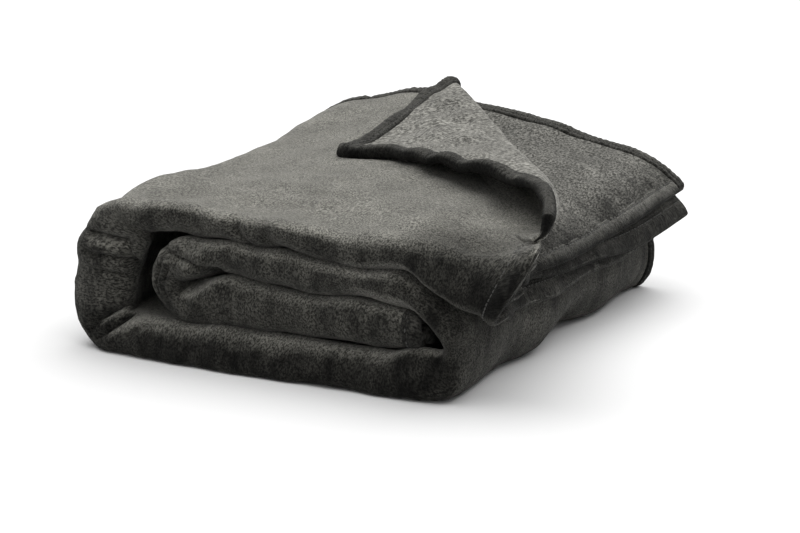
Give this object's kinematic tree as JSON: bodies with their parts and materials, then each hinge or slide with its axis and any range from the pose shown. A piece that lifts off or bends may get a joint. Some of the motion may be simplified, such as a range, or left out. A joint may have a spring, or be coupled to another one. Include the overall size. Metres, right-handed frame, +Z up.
{
  "type": "folded throw blanket",
  "caption": "Fleece throw folded in four across its width and rolled flat into a low square pack, with a loose top leaf and one turned-back corner.",
  "frame": {"origin": "middle of the footprint, on the surface that the pack rests on", "axes": "+X from the left fold to the free end of the cloth, +Y from the front folds to the back hems, +Z up"},
  "size_m": [0.3882, 0.3833, 0.1691],
  "materials": {
    "fleece": "short brushed pile, charcoal with a warm grey cast, soft sheen",
    "fleece_underside": "longer brushed pile, lighter charcoal grey",
    "hem": "doubled fleece edge, pile pressed flat, dark charcoal",
    "thread": "matt polyester sewing thread"
  },
  "bodies": {
    "folded_stack": {"left_fold": "fleece", "bottom_leaf": "fleece", "right_fold": "fleece", "second_leaf": "fleece", "inner_turn": "fleece", "third_leaf": "fleece", "left_fold_cover_hem": "hem", "left_fold_lining_hem": "hem", "bottom_leaf_cover_hem": "hem", "bottom_leaf_lining_hem": "hem", "right_fold_cover_hem": "hem", "right_fold_lining_hem": "hem", "second_leaf_cover_hem": "hem", "second_leaf_lining_hem": "hem", "inner_turn_cover_hem": "hem", "inner_turn_lining_hem": "hem", "third_leaf_cover_hem": "hem", "third_leaf_lining_hem": "hem", "hidden_end_hem": "hem", "inner_cover_seam": "thread", "inner_lining_seam": "thread"},
    "top_leaf": {"top_leaf_cover": "fleece", "top_leaf_plies": "fleece", "top_leaf_cover_hem": "hem", "top_leaf_lining_hem": "hem", "free_end_hem": "hem", "top_leaf_cover_seam": "thread", "top_leaf_lining_seam": "thread", "corner_curl": "fleece_underside", "corner_curl_hem": "hem"},
    "turned_corner": {"corner_flap": "fleece_underside", "corner_end_hem": "hem", "corner_back_hem": "hem", "corner_end_seam": "thread", "corner_back_seam": "thread"}
  },
  "joints": [
    {"name": "top_leaf_lift", "type": "hinge", "parent": "folded_stack", "child": "top_leaf", "pos_m": [-0.13377, 0, 0.127], "axis": [0, -1, 0], "range_deg": [0, 110]},
    {"name": "turned_corner_open", "type": "hinge", "parent": "top_leaf", "child": "turned_corner", "pos_m": [-0.0468, 0.1912, 0.1689], "axis": [-0.5705, 0.8103, 0.1339], "range_deg": [0, 170]}
  ]
}
